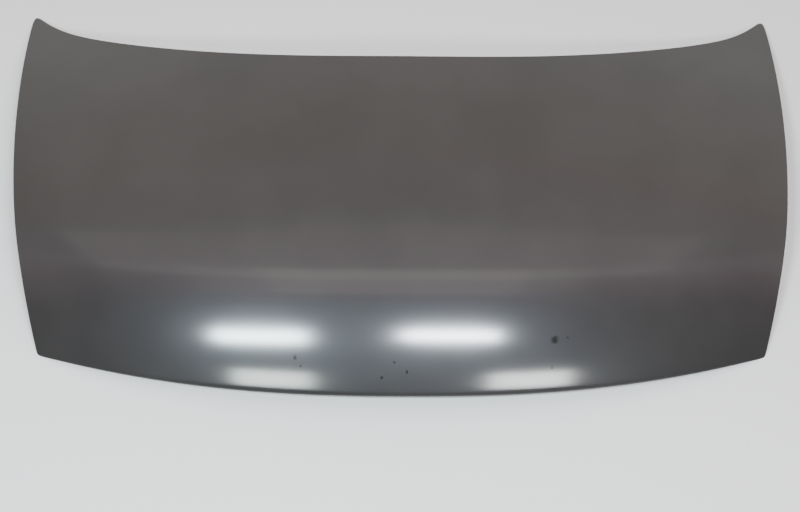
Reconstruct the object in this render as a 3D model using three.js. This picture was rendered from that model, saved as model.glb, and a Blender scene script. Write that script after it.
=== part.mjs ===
import * as THREE from "three";

// A car bonnet, lying face up on its hem, in millimetres.
// X points to the right of the car, Y back towards the windscreen and Z up.

// Outline in plan. The middle of the bonnet is between the front and rear edges on the centre line.
const centreLength = 663;
const frontHalfWidth = 630;
const foreSwell = 705;
const rearSwell = 730;
const rearHalfWidth = 726;
const noseSweep = 96; // how far each front corner lies behind the middle of the front edge
const noseSweepPower = 2.3;
const cowlSweep = 148; // how far the rear edge bows back towards its ends
const cowlSweepPower = 2.4;
const earReach = 56; // the extra length of the pointed rear corners
const earPower = 16.5;
const frontCornerPull = 2.5; // how far rounding draws a front corner in
const rearCornerPull = 15; // the same for the tips of the ears

// Height of the outer skin, with the front corners and the tips of the ears at the base
const noseHeight = 45;
const cowlHeight = 115;
const rearCrown = 120; // how far the rear edge falls from the centre line to the ears
const bodySlope = 0.16; // slope of the upper panel just behind the nose
const noseSlope = 0.33; // extra slope ahead of the knee
const kneeDistance = 179; // knee line, measured back from the front edge
const kneeBlend = 20;
const lipSlope = 0.25; // extra slope of the turned-down front lip
const lipReach = 46;
const shoulderShare = 0.12; // share of the crown that falls close to the sides
const shoulderPower = 10;

// Sheet and hem
const skinThickness = 0.7;
const frameThickness = 0.7;
const seatGap = 0.3; // clearance between pieces that touch
const hemWidth = 11; // width of the skin's folded edge
const flangeGap = 1; // from the fold's cut edge to the bend of the inner frame
const foldClearance = 2; // from the roll to the edge of the frame's flange

// Inner frame: hat sections round six cut-outs
const sectionDepth = 22; // from the outer surface down to the floor of a section
const cornerTaper = 0.6; // near the corners a section is no deeper than this share of its height
const wallRun = 8; // how far a section's wall leans over its depth
const bendRun = 5; // width of the bend between a wall and the floor
const bendDrop = 3;
const rimWidth = 12; // flat rim round each cut-out
const rimGap = 3.5; // space for mastic between the rim and the skin
const noseBeamWidth = 115;
const sideBeamWidth = 85;
const cowlBeamWidth = 80;
const armWidth = 90; // the two arms from the latch to the hinges
const armFootX = 65;
const crossBowWidth = 76;
const crossBowPlace = 340; // from the front edge to the middle of the cross bow
const strutWidth = 70; // the strut from each arm to the side beam
const strutPlace = 352;
const noseCutoutSetback = 156; // from the front edge to the front of the forward cut-out
const sideCutoutSetback = 126; // from the hinge to the rear of the side cut-out
const cutoutRadius = 26;

// Hinge pads, one in each rear corner
const hingeSideSetback = 117;
const hingeRearSetback = 98;
const hingePadWidth = 60;
const hingePadLength = 90;
const hingePadDepth = 28; // below the outer surface at the middle of the pad
const hingeBoltSpacing = 56;
const boltHoleRadius = 4.5;
const padRadius = 12;
const padRamp = 14; // width of the slope between a pad and the floor round it

// Latch pad and striker, in the middle of the nose
const latchSetback = 78;
const latchPadWidth = 120;
const latchPadLength = 50;
const latchPadDepth = 36;
const strikerPlateWidth = 84;
const strikerPlateLength = 44;
const strikerPlateThickness = 2.5;
const strikerRodRadius = 4;
const strikerLegSpacing = 30;
const strikerReach = 36; // from the plate to the underside of the loop
const strikerBend = 10; // bend radius at the middle of the rod

// Reinforcing plates and weld nuts inside the sections
const hingePlateThickness = 2;
const latchPlateThickness = 1.5;
const plateMargin = 4; // from a plate's edge to the edge of its pad
const plateRadius = 8;
const plateFlange = 6; // height of the turned-up edge
const nutAcrossFlats = 13;
const nutHeight = 6.5;
const nutBoreRadius = 3.4;

// Holes in the floor of the sections
const toolingHoleRadius = 10;
const sideHoleRadius = 8;
const slotWidth = 15;
const slotRadius = 7;
const drainSlotLength = 44;
const drainSlotPlaces = [227, 416]; // from the centre line
const propSlotLength = 26;
const propSlotPlace = 529; // to the left of the centre line

// Mastic dabs between rims and skin
const masticRadius = 4.5;
const masticGap = 0.5;
const dabsPerLoop = 3;

// Facets
const acrossStrips = 26;
const alongStrips = 24;
const bendWeight = 700;
const arcSteps = 4;
const longestSide = 58;
const sideShare = 0.49; // a round corner takes no more than this share of the sides next to it

const { lerp, degToRad } = THREE.MathUtils;
const widestHalf = Math.max(rearSwell, rearHalfWidth);
const bonnet = new THREE.Group();

const colours = {
  coat: { color: 0x3d3b3b, roughness: 0.32, metalness: 0.35 },
  bareSteel: { color: 0x8d8f90, roughness: 0.45, metalness: 0.9 },
  mastic: { color: 0x1c1b1a, roughness: 0.85, metalness: 0 },
};

function addPiece(name, geometry, colour) {
  const mesh = new THREE.Mesh(geometry, new THREE.MeshStandardMaterial(colours[colour]));
  mesh.name = name;
  bonnet.add(mesh);
  return mesh;
}

// The outer surface, from u = -1 at the left side to 1 at the right, v = 0 at the front to 1 at the rear

const noseEdge = (u) => -centreLength / 2 + noseSweep * Math.abs(u) ** noseSweepPower;

function cowlEdge(u) {
  const bow = cowlSweep * Math.abs(u) ** cowlSweepPower;
  return centreLength / 2 + bow + earReach * Math.abs(u) ** earPower;
}

function halfWidthAt(v) {
  const w = 1 - v;
  const front = frontHalfWidth * w ** 3 + 3 * foreSwell * v * w ** 2;
  return front + 3 * rearSwell * v ** 2 * w + rearHalfWidth * v ** 3;
}

// The nose keeps its extra slope up to the knee, then loses it over the blend.
function noseRise(distance) {
  const soft = (x) => Math.log(1 + Math.exp(x / kneeBlend));
  return noseSlope * kneeBlend * (soft(kneeDistance) - soft(kneeDistance - distance));
}

const lipRise = (distance) => lipSlope * lipReach * (1 - Math.exp(-distance / lipReach));

// The upper panel is a parabola that ends at the height of the rear edge.
function centreHeight(v) {
  const distance = v * centreLength;
  const bodyRise = cowlHeight - noseHeight - noseRise(centreLength) - lipRise(centreLength);
  const body = bodySlope * distance + (bodyRise - bodySlope * centreLength) * v * v;
  return noseHeight + body + noseRise(distance) + lipRise(distance);
}

const crownShape = (u) => (1 - shoulderShare) * u * u + shoulderShare * Math.abs(u) ** shoulderPower;

function skinPoint(u, v) {
  const drop = lerp(noseHeight, rearCrown, v) * crownShape(u);
  return new THREE.Vector3(u * halfWidthAt(v), lerp(noseEdge(u), cowlEdge(u), v), centreHeight(v) - drop);
}

function skinNormal(u, v) {
  const step = 1e-3;
  const across = skinPoint(u + step, v).sub(skinPoint(u - step, v));
  const along = skinPoint(u, v + step).sub(skinPoint(u, v - step));
  return across.cross(along).normalize();
}

const belowSkin = (u, v, depth) => skinPoint(u, v).addScaledVector(skinNormal(u, v), -depth);

// A point of the square outline, drawn in so that its corners become round
function roundCorner(u, v) {
  const w = 2 * v - 1;
  const cornerPull = w < 0 ? frontCornerPull : rearCornerPull;
  const power = Math.log(2) / -Math.log(1 - cornerPull / widestHalf);
  const reach = Math.max(Math.abs(u), Math.abs(w), 1e-9);
  const scale = 1 / ((Math.abs(u) / reach) ** power + (Math.abs(w) / reach) ** power) ** (1 / power);
  const outermost = reach ** power;
  const pull = lerp(1, scale, outermost);
  return [u * pull, (w * pull + 1) / 2];
}

// A point at an inset from the outline, where a and b say how far across and along it is
function insetPoint(a, b, inset, depth) {
  const u = a * (1 - inset / widestHalf);
  const v = (inset + b * (centreLength - 2 * inset)) / centreLength;
  return belowSkin(...roundCorner(u, v), depth);
}

// The surface coordinates of a place in plan
function surfacePlace(x, y) {
  let u = 0;
  let v = 0.5;
  for (let i = 0; i < 30; i += 1) {
    u = x / halfWidthAt(v);
    v = (y - noseEdge(u)) / (cowlEdge(u) - noseEdge(u));
  }
  return [u, v];
}

const underSkin = (x, y, depth) => belowSkin(...surfacePlace(x, y), depth);
const noseY = (x) => noseEdge(x / frontHalfWidth);
const cowlY = (x) => cowlEdge(x / rearHalfWidth);
const sideX = (y) => halfWidthAt((y - noseEdge(1)) / (cowlEdge(1) - noseEdge(1)));

// Lines over a curve, closer together where it bends more
function spreadLines(height, start, end, count) {
  const samples = 400;
  const step = (end - start) / samples;
  const measure = [0];
  for (let i = 1; i <= samples; i += 1) {
    const x = start + (i - 0.5) * step;
    const bend = Math.abs(height(x + step) - 2 * height(x) + height(x - step)) / step ** 2;
    measure.push(measure[i - 1] + step * (1 + bendWeight * bend));
  }
  const lines = [start];
  for (let k = 1; k < count; k += 1) {
    const target = (measure[samples] * k) / count;
    const i = measure.findIndex((m) => m >= target);
    const part = (target - measure[i - 1]) / (measure[i] - measure[i - 1]);
    lines.push(start + (i - 1 + part) * step);
  }
  return [...lines, end];
}

// A surface of triangles that face outwards, from which a sheet is made
class Surface {
  constructor() {
    this.points = [];
    this.triangles = [];
  }

  ring(points) {
    const first = this.points.length;
    this.points.push(...points);
    return points.map((point, i) => first + i);
  }

  // Joins two rings that both run counter-clockwise
  band(outer, inner) {
    outer.forEach((a, i) => {
      const next = (i + 1) % outer.length;
      this.triangles.push([a, outer[next], inner[next]], [a, inner[next], inner[i]]);
    });
  }

  bands(rings) {
    for (let i = 1; i < rings.length; i += 1) this.band(rings[i - 1], rings[i]);
  }

  // Fills a ring, apart from the rings inside it, with triangles that face up
  fill(contour, holes) {
    const flat = (ring) => ring.map((i) => new THREE.Vector2(this.points[i].x, this.points[i].y));
    const order = [contour, ...holes].flat();
    const faces = THREE.ShapeUtils.triangulateShape(flat(contour), holes.map(flat)).map((face) => {
      const [a, b, c] = face.map((k) => order[k]);
      const turn = THREE.ShapeUtils.area(flat([a, b, c]));
      return turn > 0 ? [a, b, c] : [a, c, b];
    });
    let swaps = 1;
    while (swaps > 0) swaps = this.swapDiagonals(faces);
    this.triangles.push(...faces);
  }

  // The angle at c of the triangle a, b, c in plan
  angleAt(c, a, b) {
    const [p, q, r] = [a, b, c].map((i) => this.points[i]);
    const first = Math.atan2(p.y - r.y, p.x - r.x);
    const second = Math.atan2(q.y - r.y, q.x - r.x);
    return THREE.MathUtils.euclideanModulo(second - first, 2 * Math.PI);
  }

  // Goes once over the edges that two faces share, and takes the other diagonal where it gives rounder faces
  swapDiagonals(faces) {
    const owner = new Map();
    faces.forEach(([a, b, c], k) => {
      owner.set(`${a},${b}`, { k, far: c });
      owner.set(`${b},${c}`, { k, far: a });
      owner.set(`${c},${a}`, { k, far: b });
    });
    const done = new Set();
    for (const [edge, { k, far: c }] of owner) {
      const [a, b] = edge.split(",").map(Number);
      const twin = owner.get(`${b},${a}`);
      if (!twin || done.has(k) || done.has(twin.k)) continue;
      const d = twin.far;
      if (this.angleAt(c, a, b) + this.angleAt(d, b, a) < Math.PI + 1e-6) continue;
      faces[k] = [a, d, c];
      faces[twin.k] = [d, b, c];
      done.add(k).add(twin.k);
    }
    return done.size;
  }

  geometry() {
    const shape = new THREE.BufferGeometry().setFromPoints(this.points);
    shape.setIndex(this.triangles.flat());
    return shape;
  }

  // Gives the surface a thickness inwards and closes its free edges
  thicken(thickness) {
    const face = this.geometry();
    face.computeVertexNormals();
    const count = this.points.length;
    const normal = new THREE.Vector3();
    const inner = this.points.map((point, i) => {
      normal.fromBufferAttribute(face.getAttribute("normal"), i);
      return point.clone().addScaledVector(normal, -thickness);
    });
    const edges = new Set(this.triangles.flatMap(([a, b, c]) => [`${a},${b}`, `${b},${c}`, `${c},${a}`]));
    const walls = [];
    for (const edge of edges) {
      const [a, b] = edge.split(",").map(Number);
      if (!edges.has(`${b},${a}`)) walls.push([b, a, a + count], [b, a + count, b + count]);
    }
    const solid = new Surface();
    solid.points = [...this.points, ...inner];
    solid.triangles = [
      ...this.triangles,
      ...this.triangles.map(([a, b, c]) => [c + count, b + count, a + count]),
      ...walls,
    ];
    return solid.geometry();
  }
}

// A solid through rings that run counter-clockwise seen from the last one, with flat ends
function loft(rings) {
  const solid = new Surface();
  const placed = rings.map((points) => solid.ring(points));
  solid.bands(placed);
  const first = placed[0];
  const last = placed[placed.length - 1];
  for (let i = 2; i < first.length; i += 1) {
    solid.triangles.push([first[0], first[i], first[i - 1]], [last[0], last[i - 1], last[i]]);
  }
  return solid.geometry();
}

// Loops in plan: places with an outward direction, so that a loop can be widened evenly

function circleLoop(x, y, radius, steps = 10) {
  return Array.from({ length: steps }, (_, i) => {
    const angle = (i / steps) * 2 * Math.PI;
    const nx = Math.cos(angle);
    const ny = Math.sin(angle);
    return { x: x + radius * nx, y: y + radius * ny, nx, ny };
  });
}

// A polygon with long sides divided and round corners, each no larger than its sides leave room for
function roundedLoop(corners, radius) {
  const loop = [];
  const turns = corners.map(([x, y], i) => {
    const before = corners[(i + corners.length - 1) % corners.length];
    const after = corners[(i + 1) % corners.length];
    const into = Math.atan2(y - before[1], x - before[0]);
    const out = Math.atan2(after[1] - y, after[0] - x);
    const turn = THREE.MathUtils.euclideanModulo(out - into, 2 * Math.PI);
    const sides = [Math.hypot(x - before[0], y - before[1]), Math.hypot(after[0] - x, after[1] - y)];
    const back = Math.min(radius * Math.tan(turn / 2), sideShare * Math.min(...sides));
    const fillet = back / Math.tan(turn / 2);
    const centreX = x - back * Math.cos(into) - fillet * Math.sin(into);
    const centreY = y - back * Math.sin(into) + fillet * Math.cos(into);
    return { centreX, centreY, fillet, start: into - Math.PI / 2, turn };
  });
  turns.forEach(({ centreX, centreY, fillet, start, turn }, i) => {
    for (let k = 0; k <= arcSteps; k += 1) {
      const angle = start + (turn * k) / arcSteps;
      const nx = Math.cos(angle);
      const ny = Math.sin(angle);
      loop.push({ x: centreX + fillet * nx, y: centreY + fillet * ny, nx, ny });
    }
    const from = loop[loop.length - 1];
    const next = turns[(i + 1) % turns.length];
    const to = { x: next.centreX + next.fillet * from.nx, y: next.centreY + next.fillet * from.ny };
    const pieces = Math.ceil(Math.hypot(to.x - from.x, to.y - from.y) / longestSide);
    for (let k = 1; k < pieces; k += 1) {
      const x = lerp(from.x, to.x, k / pieces);
      const y = lerp(from.y, to.y, k / pieces);
      loop.push({ x, y, nx: from.nx, ny: from.ny });
    }
  });
  return loop;
}

const rectangle = (x, y, width, length) => [
  [x - width / 2, y - length / 2],
  [x + width / 2, y - length / 2],
  [x + width / 2, y + length / 2],
  [x - width / 2, y + length / 2],
];

const mirrorLoop = (loop) => loop.map(({ x, y, nx, ny }) => ({ x: -x, y, nx: -nx, ny })).reverse();
const bothSides = (loops) => [...loops, ...loops.map(mirrorLoop)];
const widen = ({ x, y, nx, ny }, offset) => [x + nx * offset, y + ny * offset];

// Where the inner frame's parts lie

const rimDepth = skinThickness + rimGap;
const hingeX = rearHalfWidth - hingeSideSetback;
const hingeY = cowlY(hingeX) - hingeRearSetback;
const latchY = noseY(0) + latchSetback;
const hingePadZ = underSkin(hingeX, hingeY, 0).z - hingePadDepth;
const latchPadZ = underSkin(0, latchY, 0).z - latchPadDepth;
const crossBowY = noseY(0) + crossBowPlace;
const strutY = noseY(0) + strutPlace;

// The section grows shallow towards the corners, so that the bonnet rests on its hem.
const floorDepth = (height) => Math.min(sectionDepth, cornerTaper * height);

function onFloor(x, y) {
  return underSkin(x, y, floorDepth(underSkin(x, y, 0).z));
}

// The edge of an arm at y, on its inner side with -1 and on its outer side with 1
function armX(y, side) {
  const slope = (hingeX - armFootX) / (hingeY - latchY);
  return armFootX + slope * (y - latchY) + (side * armWidth * Math.hypot(1, slope)) / 2;
}

function cutoutCorners() {
  const bowFront = crossBowY - crossBowWidth / 2;
  const bowRear = crossBowY + crossBowWidth / 2;
  const strutFront = strutY - strutWidth / 2;
  const strutRear = strutY + strutWidth / 2;
  const noseCutout = noseY(0) + noseCutoutSetback;
  const cowlCutout = cowlY(0) - cowlBeamWidth;
  const sideCutout = hingeY - sideCutoutSetback;
  const beside = (y) => sideX(y) - sideBeamWidth;
  let innerFront = latchY;
  let outerFront = latchY;
  for (let i = 0; i < 20; i += 1) {
    innerFront = noseY(armX(innerFront, 1)) + noseBeamWidth;
    outerFront = noseY(beside(outerFront)) + noseBeamWidth;
  }
  const across = (y, rear) => [
    [-armX(y, -1), y],
    [armX(y, -1), y],
    [armX(rear, -1), rear],
    [-armX(rear, -1), rear],
  ];
  return {
    middle: [across(noseCutout, bowFront), across(bowRear, cowlCutout)],
    side: [
      [
        [armX(innerFront, 1), innerFront],
        [beside(outerFront), outerFront],
        [beside(strutFront), strutFront],
        [armX(strutFront, 1), strutFront],
      ],
      [
        [armX(strutRear, 1), strutRear],
        [beside(strutRear), strutRear],
        [beside(sideCutout), sideCutout],
        [armX(sideCutout, 1), sideCutout],
      ],
    ],
  };
}

const corners = cutoutCorners();
const middleLoops = corners.middle.map((points) => roundedLoop(points, cutoutRadius));
const sideLoops = corners.side.map((points) => roundedLoop(points, cutoutRadius));

// Lines of the outline: equal places for the skin and for the frame's flange inside its hem

const rollRadius = skinThickness + seatGap + frameThickness / 2;
const hemDepth = 2 * rollRadius;
const flangeInset = hemWidth + flangeGap;

function outlineLines() {
  const crownAt = (x) => -lerp(noseHeight, rearCrown, 0.5) * crownShape(x / widestHalf);
  const sideLine = widestHalf - flangeInset;
  const across = spreadLines(crownAt, -sideLine, sideLine, acrossStrips);
  const heightAt = (y) => centreHeight(y / centreLength);
  const along = spreadLines(heightAt, flangeInset, centreLength - flangeInset, alongStrips);
  return {
    across: [-1, ...across.map((x) => x / (widestHalf - rollRadius)), 1],
    along: [0, ...along.map((y) => (y - rollRadius) / (centreLength - 2 * rollRadius)), 1],
  };
}

const lines = outlineLines();
const outline = [
  ...lines.across.slice(0, -1).map((a) => [a, 0]),
  ...lines.along.slice(0, -1).map((b) => [1, b]),
  ...lines.across.slice(1).reverse().map((a) => [a, 1]),
  ...lines.along.slice(1).reverse().map((b) => [-1, b]),
];

const outlineRing = (surface, inset, depth) => surface.ring(
  outline.map(([a, b]) => insetPoint(a, b, inset, depth)),
);

// The outer skin: the panel, the roll at its edge and the hem folded back under the frame's flange
function outerSkin() {
  const surface = new Surface();
  const rows = lines.along.map((b) => surface.ring(lines.across.map((a) => insetPoint(a, b, rollRadius, 0))));
  for (let j = 1; j < rows.length; j += 1) {
    for (let i = 1; i < rows[j].length; i += 1) {
      const [a, b, c, d] = [rows[j - 1][i - 1], rows[j - 1][i], rows[j][i], rows[j][i - 1]];
      surface.triangles.push([a, b, c], [a, c, d]);
    }
  }
  const last = rows.length - 1;
  const edge = [
    ...rows[0].slice(0, -1),
    ...rows.slice(0, -1).map((row) => row[row.length - 1]),
    ...rows[last].slice(1).reverse(),
    ...rows.slice(1).reverse().map((row) => row[0]),
  ];
  const rolled = [45, 90, 135, 180].map((angle) => {
    const out = rollRadius * Math.sin(degToRad(angle));
    const down = rollRadius * (1 - Math.cos(degToRad(angle)));
    return outlineRing(surface, rollRadius - out, down);
  });
  const fold = outlineRing(surface, hemWidth, hemDepth);
  surface.bands([fold, ...rolled.reverse(), edge]);
  return surface.thicken(skinThickness);
}

// A flat pad of the frame at one height, with the slope that joins it to the floor
function pad(surface, loop, height, holes) {
  const ramp = surface.ring(loop.map((place) => onFloor(...widen(place, padRamp))));
  const edge = surface.ring(loop.map(({ x, y }) => new THREE.Vector3(x, y, height)));
  const bores = holes.map((hole) => surface.ring(hole.map(({ x, y }) => new THREE.Vector3(x, y, height))));
  surface.band(ramp, edge);
  surface.fill(edge, bores);
  return ramp;
}

const hingeLoop = roundedLoop(rectangle(hingeX, hingeY, hingePadWidth, hingePadLength), padRadius);
const hingeBolts = [-1, 1].map((end) => [hingeX, hingeY + (end * hingeBoltSpacing) / 2]);
const boltLoops = hingeBolts.map(([x, y]) => circleLoop(x, y, boltHoleRadius));
const latchLoop = roundedLoop(rectangle(0, latchY, latchPadWidth, latchPadLength), padRadius);

// Round tooling holes in the arms and side beams, slots to drain the nose beam, and the prop rod's slot
function floorHoles() {
  const midBeam = (width) => (flangeInset + width - rimWidth) / 2;
  const onArm = (y) => [(armX(y, -1) + armX(y, 1)) / 2, y];
  const slot = (x, length) => {
    const y = noseY(x) + midBeam(noseBeamWidth);
    return roundedLoop(rectangle(x, y, length, slotWidth), slotRadius);
  };
  const holes = [
    circleLoop(...onArm((latchY + crossBowY) / 2), toolingHoleRadius),
    circleLoop(...onArm((crossBowY + hingeY) / 2), toolingHoleRadius),
    circleLoop(sideX(strutY) - midBeam(sideBeamWidth), strutY, sideHoleRadius),
    ...drainSlotPlaces.map((x) => slot(x, drainSlotLength)),
  ];
  return [...bothSides(holes), slot(-propSlotPlace, propSlotLength)];
}

// The inner frame: flange in the hem, walls, floor, and the rims of the cut-outs up close to the skin
function innerFrame() {
  const surface = new Surface();
  const flangeDepth = skinThickness + seatGap;
  const wallFoot = flangeInset + wallRun;
  const tapered = (inset, depth) => surface.ring(
    outline.map(([a, b]) => {
      const height = insetPoint(a, b, inset, 0).z;
      return insetPoint(a, b, inset, Math.max(floorDepth(height) - depth, flangeDepth));
    }),
  );
  const edges = [
    outlineRing(surface, rollRadius + foldClearance, flangeDepth),
    outlineRing(surface, flangeInset, flangeDepth),
    tapered(wallFoot, bendDrop),
    tapered(wallFoot + bendRun, 0),
  ];
  surface.bands(edges);
  const floorRings = bothSides(sideLoops).concat(middleLoops).map((loop) => {
    const at = (offset, raise) => surface.ring(
      loop.map((place) => {
        const [x, y] = widen(place, offset);
        return underSkin(x, y, floorDepth(underSkin(x, y, 0).z) - raise);
      }),
    );
    const rim = (offset) => surface.ring(loop.map((place) => underSkin(...widen(place, offset), rimDepth)));
    const rings = [
      at(rimWidth + wallRun + bendRun, 0),
      at(rimWidth + wallRun, bendDrop),
      rim(rimWidth),
      rim(0),
    ];
    surface.bands(rings);
    return rings[0];
  });
  const pads = [
    pad(surface, hingeLoop, hingePadZ, boltLoops),
    pad(surface, mirrorLoop(hingeLoop), hingePadZ, boltLoops.map(mirrorLoop)),
    pad(surface, latchLoop, latchPadZ, []),
  ];
  const holes = floorHoles().map((loop) => surface.ring(loop.map(({ x, y }) => onFloor(x, y))));
  surface.fill(edges[edges.length - 1], [...floorRings, ...pads, ...holes]);
  return surface.thicken(frameThickness);
}

// A reinforcing plate on a pad, with its edge turned up
function flangedPlate(corners, height, thickness, holes) {
  const surface = new Surface();
  const loop = roundedLoop(corners, plateRadius);
  const at = (offset, z) => surface.ring(
    loop.map((place) => new THREE.Vector3(...widen(place, offset), z)),
  );
  const lip = at(0, height + thickness + plateFlange);
  const bend = at(-thickness, height + thickness);
  const bores = holes.map((hole) => surface.ring(
    hole.map(({ x, y }) => new THREE.Vector3(x, y, height + thickness)),
  ));
  surface.band(lip, bend);
  surface.fill(bend, bores);
  return surface.thicken(thickness);
}

function weldNut(x, y, z) {
  const radius = nutAcrossFlats / Math.sqrt(3);
  const toPoint = ({ x: px, y: py }) => new THREE.Vector2(px, py);
  const shape = new THREE.Shape(circleLoop(x, y, radius, 6).map(toPoint));
  shape.holes.push(new THREE.Path(circleLoop(x, y, nutBoreRadius).map(toPoint)));
  const nut = new THREE.ExtrudeGeometry(shape, { depth: nutHeight, bevelEnabled: false });
  return nut.translate(0, 0, z);
}

function strikerPlate(top) {
  const corners = roundedLoop(rectangle(0, latchY, strikerPlateWidth, strikerPlateLength), plateRadius);
  const shape = new THREE.Shape(corners.map(({ x, y }) => new THREE.Vector2(x, y)));
  const plate = new THREE.ExtrudeGeometry(shape, { depth: strikerPlateThickness, bevelEnabled: false });
  return plate.translate(0, 0, top - strikerPlateThickness);
}

// The striker: a round rod bent to a U in the plane of the centre line, with its ends against the plate
function strikerLoop(top) {
  const sides = 10;
  const bendSteps = 6;
  const low = top - strikerReach + strikerRodRadius;
  const path = [{ y: -strikerLegSpacing / 2, z: top, angle: -90 }];
  for (let k = 0; k <= bendSteps; k += 1) {
    const angle = -90 + (90 * k) / bendSteps;
    const turn = degToRad(angle);
    path.push({
      y: -strikerLegSpacing / 2 + strikerBend * (1 - Math.cos(turn + Math.PI / 2)),
      z: low + strikerBend * (1 - Math.sin(turn + Math.PI / 2)),
      angle,
    });
  }
  const otherHalf = path.map(({ y, z, angle }) => ({ y: -y, z, angle: -angle })).reverse();
  const rings = [...path, ...otherHalf].map(({ y, z, angle }) => {
    const turn = degToRad(angle);
    const inward = new THREE.Vector3(0, -Math.sin(turn), Math.cos(turn));
    return Array.from({ length: sides }, (_, i) => {
      const around = (i / sides) * 2 * Math.PI;
      const point = new THREE.Vector3(0, latchY + y, z);
      point.x = strikerRodRadius * Math.cos(around);
      return point.addScaledVector(inward, strikerRodRadius * Math.sin(around));
    });
  });
  return loft(rings.reverse());
}

function masticDab(x, y) {
  const circle = circleLoop(x, y, masticRadius, 8);
  const at = (depth) => circle.map((place) => underSkin(place.x, place.y, depth));
  return loft([at(rimDepth - seatGap), at(skinThickness + masticGap)]);
}

const skin = addPiece("outer_skin", outerSkin(), "coat");
addPiece("inner_frame", innerFrame(), "coat");

const hingePlateZ = hingePadZ + seatGap;
const nutZ = hingePlateZ + hingePlateThickness + seatGap;
const hingePlateCorners = rectangle(
  hingeX,
  hingeY,
  hingePadWidth - 2 * plateMargin,
  hingePadLength - 2 * plateMargin,
);
const mirrorCorners = (points) => points.map(([x, y]) => [-x, y]).reverse();
for (const side of ["right", "left"]) {
  const sign = side === "right" ? 1 : -1;
  const plateCorners = sign > 0 ? hingePlateCorners : mirrorCorners(hingePlateCorners);
  const bolts = sign > 0 ? boltLoops : boltLoops.map(mirrorLoop);
  const plate = flangedPlate(plateCorners, hingePlateZ, hingePlateThickness, bolts);
  addPiece(`hinge_reinforcement_${side}`, plate, "coat");
  hingeBolts.forEach(([x, y], i) => {
    addPiece(`hinge_nut_${side}_${i === 0 ? "front" : "rear"}`, weldNut(sign * x, y, nutZ), "bareSteel");
  });
}

const latchPlateCorners = rectangle(
  0,
  latchY,
  latchPadWidth - 2 * plateMargin,
  latchPadLength - 2 * plateMargin,
);
const latchPlate = flangedPlate(latchPlateCorners, latchPadZ + seatGap, latchPlateThickness, []);
addPiece("latch_reinforcement", latchPlate, "coat");
const strikerTop = latchPadZ - frameThickness - seatGap;
addPiece("striker_plate", strikerPlate(strikerTop), "coat");
addPiece("striker_loop", strikerLoop(strikerTop - strikerPlateThickness - seatGap), "coat");

// Mastic dabs on the rims, at even places round the right half and mirrored to the left
const rightLoops = [...sideLoops, ...middleLoops.map((loop) => loop.filter(({ x }) => x > cutoutRadius))];
rightLoops.forEach((loop, loopNumber) => {
  for (let k = 0; k < dabsPerLoop; k += 1) {
    const place = loop[Math.round(((k + 0.5) * loop.length) / dabsPerLoop)];
    const [x, y] = widen(place, rimWidth / 2);
    const label = loopNumber * dabsPerLoop + k + 1;
    addPiece(`mastic_dab_right_${label}`, masticDab(x, y), "mastic");
    addPiece(`mastic_dab_left_${label}`, masticDab(-x, y), "mastic");
  }
});

// The origin is at the middle of the bonnet's base.
skin.geometry.computeBoundingBox();
const box = skin.geometry.boundingBox;
bonnet.position.set(0, -(box.min.y + box.max.y) / 2, -box.min.z);

export default bonnet;
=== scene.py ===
import math

import bpy
import numpy as np
from mathutils import Matrix, Vector
from mathutils.geometry import delaunay_2d_cdt


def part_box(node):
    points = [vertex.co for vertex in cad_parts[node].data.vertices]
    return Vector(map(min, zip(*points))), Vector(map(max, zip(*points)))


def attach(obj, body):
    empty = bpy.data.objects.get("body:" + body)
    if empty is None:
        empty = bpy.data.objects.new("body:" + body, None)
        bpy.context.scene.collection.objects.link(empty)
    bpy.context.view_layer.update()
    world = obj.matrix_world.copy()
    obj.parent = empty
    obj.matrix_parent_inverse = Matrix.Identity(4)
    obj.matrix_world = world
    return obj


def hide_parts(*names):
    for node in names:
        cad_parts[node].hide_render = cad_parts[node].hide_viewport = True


# Steel car bonnet lying face up on its hem. Shapes are worked out in mm, with X to the right of the car,
# Y back towards the windscreen and Z up, and go into the meshes in metres.

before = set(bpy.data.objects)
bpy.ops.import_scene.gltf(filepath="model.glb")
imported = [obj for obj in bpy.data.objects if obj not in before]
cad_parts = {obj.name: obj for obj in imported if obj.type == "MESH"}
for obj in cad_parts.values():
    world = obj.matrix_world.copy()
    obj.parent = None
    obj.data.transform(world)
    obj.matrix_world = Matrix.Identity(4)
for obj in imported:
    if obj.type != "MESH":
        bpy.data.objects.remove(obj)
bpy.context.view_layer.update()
print("frame loaded")

# The pressed surface

panel = {
    "centreLength": 663, "frontHalfWidth": 630, "foreSwell": 705, "rearSwell": 730, "rearHalfWidth": 726,
    "noseSweep": 96, "noseSweepPower": 2.3,   # the front corners lie behind the middle of the front edge
    "cowlSweep": 148, "cowlSweepPower": 2.4,  # bow of the rear edge
    "earReach": 56, "earPower": 16.5,         # pointed rear corners
    "frontCornerPull": 2.5, "rearCornerPull": 15,
    "noseHeight": 45, "cowlHeight": 115, "rearCrown": 120,
    "bodySlope": 0.16, "noseSlope": 0.33, "kneeDistance": 179, "kneeBlend": 20,
    "lipSlope": 0.25, "lipReach": 46,         # turned-down front lip
    "edgeTurn": 2.4, "edgeTurnReach": 5.5,    # its last few mm bend down more tightly
    "shoulderShare": 0.12, "shoulderPower": 10,
}
halfWidest = max(panel["rearSwell"], panel["rearHalfWidth"])


# Front edge: y = -length / 2 + sweep * |u|^power
def noseEdge(u):
    return -panel["centreLength"] / 2 + panel["noseSweep"] * np.abs(u) ** panel["noseSweepPower"]


# Rear edge: y = length / 2 + sweep * |u|^power + ear * |u|^(ear power)
def cowlEdge(u):
    bow = panel["cowlSweep"] * np.abs(u) ** panel["cowlSweepPower"]
    return panel["centreLength"] / 2 + bow + panel["earReach"] * np.abs(u) ** panel["earPower"]


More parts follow.
